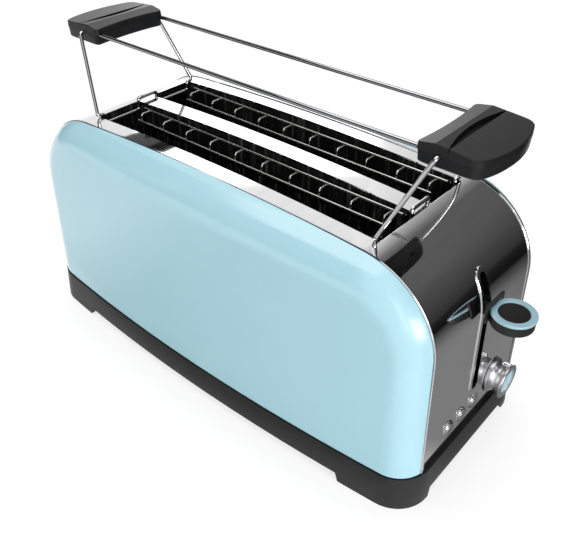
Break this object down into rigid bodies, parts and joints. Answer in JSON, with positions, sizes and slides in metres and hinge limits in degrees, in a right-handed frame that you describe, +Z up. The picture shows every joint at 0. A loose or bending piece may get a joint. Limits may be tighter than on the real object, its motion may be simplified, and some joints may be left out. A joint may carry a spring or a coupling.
{
  "type": "toaster",
  "caption": "Long-slot countertop toaster with polished steel body, pale blue panels, lever, browning dial, push buttons and a lift-off wire bun rack.",
  "frame": {"origin": "centre of the rectangle of the foot pads, on the surface the toaster stands on", "axes": "+X along the toaster towards the lever end, +Y towards the rear panel, +Z up"},
  "size_m": [0.4187, 0.183, 0.2489],
  "materials": {
    "black_plastic": "fine satin",
    "black_handle": "satin",
    "black_gloss": "gloss",
    "rubber": "matte",
    "screw_steel": "satin",
    "polished_steel": "mirror polish",
    "bright_chrome": "bright plating",
    "blue_enamel": "gloss enamel",
    "black_sheet": "heat-proof black coat",
    "zinc_sheet": "zinc-plated sheet",
    "mica": "pressed mica",
    "heating_ribbon": "annealed ribbon",
    "guide_wire": "nickel-plated wire",
    "spring_steel": "oiled wire",
    "copper_winding": "lacquered copper wire",
    "circuit_board": "solder mask"
  },
  "bodies": {
    "housing": {"base": "black_plastic", "foot_pads": "rubber", "panel_screws": "screw_steel", "steel_band": "polished_steel", "front_panel": "blue_enamel", "rear_panel": "blue_enamel", "front_trim": "bright_chrome", "rear_trim": "bright_chrome", "slit_bezel": "bright_chrome", "slot_frame": "black_sheet", "end_plate_right": "zinc_sheet", "end_plate_left": "zinc_sheet", "chassis_screws": "screw_steel", "heat_shields": "zinc_sheet", "heater_board_front": "mica", "heater_board_mid_front": "mica", "heater_board_mid_rear": "mica", "heater_board_rear": "mica", "heater_ribbons": "heating_ribbon", "guide_rods": "bright_chrome", "rod_holder_top": "black_plastic", "rod_holder_bottom": "black_plastic", "magnet_core": "screw_steel", "magnet_coil": "copper_winding", "return_spring": "spring_steel", "dial_collar": "bright_chrome", "control_board": "circuit_board", "board_screws": "screw_steel", "tact_switches": "black_gloss", "dial_body": "black_gloss", "button_rings": "bright_chrome"},
    "lever_carriage": {"lift_front": "guide_wire", "lift_rear": "guide_wire", "carriage": "zinc_sheet", "lever_stem": "black_plastic", "lever_knob": "black_plastic", "lever_ring": "blue_enamel", "lever_centre": "black_gloss"},
    "bread_guide_1": {"guide_front_outer": "guide_wire"},
    "bread_guide_2": {"guide_front_inner": "guide_wire"},
    "bread_guide_3": {"guide_rear_inner": "guide_wire"},
    "bread_guide_4": {"guide_rear_outer": "guide_wire"},
    "browning_dial": {"dial_knob": "bright_chrome", "dial_pointer": "bright_chrome", "dial_cap": "blue_enamel", "dial_shaft": "screw_steel"},
    "push_button_1": {"button_1": "bright_chrome"},
    "push_button_2": {"button_2": "bright_chrome"},
    "push_button_3": {"button_3": "bright_chrome"},
    "tray": {"crumb_tray": "zinc_sheet", "tray_front": "black_plastic"},
    "bun_rack": {"rack_wires": "bright_chrome", "rack_leg_right": "bright_chrome", "rack_leg_left": "bright_chrome", "handle_right_upper": "black_handle", "handle_left_upper": "black_handle", "handle_right_lower": "black_handle", "handle_left_lower": "black_handle", "handle_screws": "screw_steel"}
  },
  "joints": [
    {"name": "lever_slide", "type": "slide", "parent": "housing", "child": "lever_carriage", "axis": [0, 0, 1], "range_m": [-0.06, 0.018], "stiffness_N_per_m": 60, "springref_m": 0.0294, "deforming": ["return_spring"]},
    {"name": "guide_hinge_1", "type": "hinge", "parent": "housing", "child": "bread_guide_1", "pos_m": [0, -0.0472, 0.181], "axis": [1, 0, 0], "range_deg": [-0.75, 2.05]},
    {"name": "guide_hinge_2", "type": "hinge", "parent": "housing", "child": "bread_guide_2", "pos_m": [0, -0.0089, 0.181], "axis": [1, 0, 0], "range_deg": [-2.05, 0.75]},
    {"name": "guide_hinge_3", "type": "hinge", "parent": "housing", "child": "bread_guide_3", "pos_m": [0, 0.0089, 0.181], "axis": [1, 0, 0], "range_deg": [-0.75, 2.05]},
    {"name": "guide_hinge_4", "type": "hinge", "parent": "housing", "child": "bread_guide_4", "pos_m": [0, 0.0465, 0.181], "axis": [1, 0, 0], "range_deg": [-2.05, 0.75]},
    {"name": "dial_turn", "type": "hinge", "parent": "housing", "child": "browning_dial", "pos_m": [0.2, 0.0324, 0.0506], "axis": [1, 0, 0], "range_deg": [-120, 120]},
    {"name": "button_press_1", "type": "slide", "parent": "housing", "child": "push_button_1", "axis": [-1, 0, 0], "range_m": [0, 0.0012], "stiffness_N_per_m": 400, "springref_m": -0.002},
    {"name": "button_press_2", "type": "slide", "parent": "housing", "child": "push_button_2", "axis": [-1, 0, 0], "range_m": [0, 0.0012], "stiffness_N_per_m": 400, "springref_m": -0.002},
    {"name": "button_press_3", "type": "slide", "parent": "housing", "child": "push_button_3", "axis": [-1, 0, 0], "range_m": [0, 0.0012], "stiffness_N_per_m": 400, "springref_m": -0.002},
    {"name": "tray_slide", "type": "slide", "parent": "housing", "child": "tray", "axis": [0, 1, 0], "range_m": [0, 0.15]},
    {"name": "rack_lift", "type": "slide", "parent": "housing", "child": "bun_rack", "axis": [0, 0, 1], "range_m": [0, 0.06]}
  ],
  "couplings": [
    {"joint": "guide_hinge_1", "follows": "lever_slide", "rad_per_m": -0.58178},
    {"joint": "guide_hinge_2", "follows": "lever_slide", "rad_per_m": 0.58178},
    {"joint": "guide_hinge_3", "follows": "lever_slide", "rad_per_m": -0.58178},
    {"joint": "guide_hinge_4", "follows": "lever_slide", "rad_per_m": 0.58178}
  ]
}
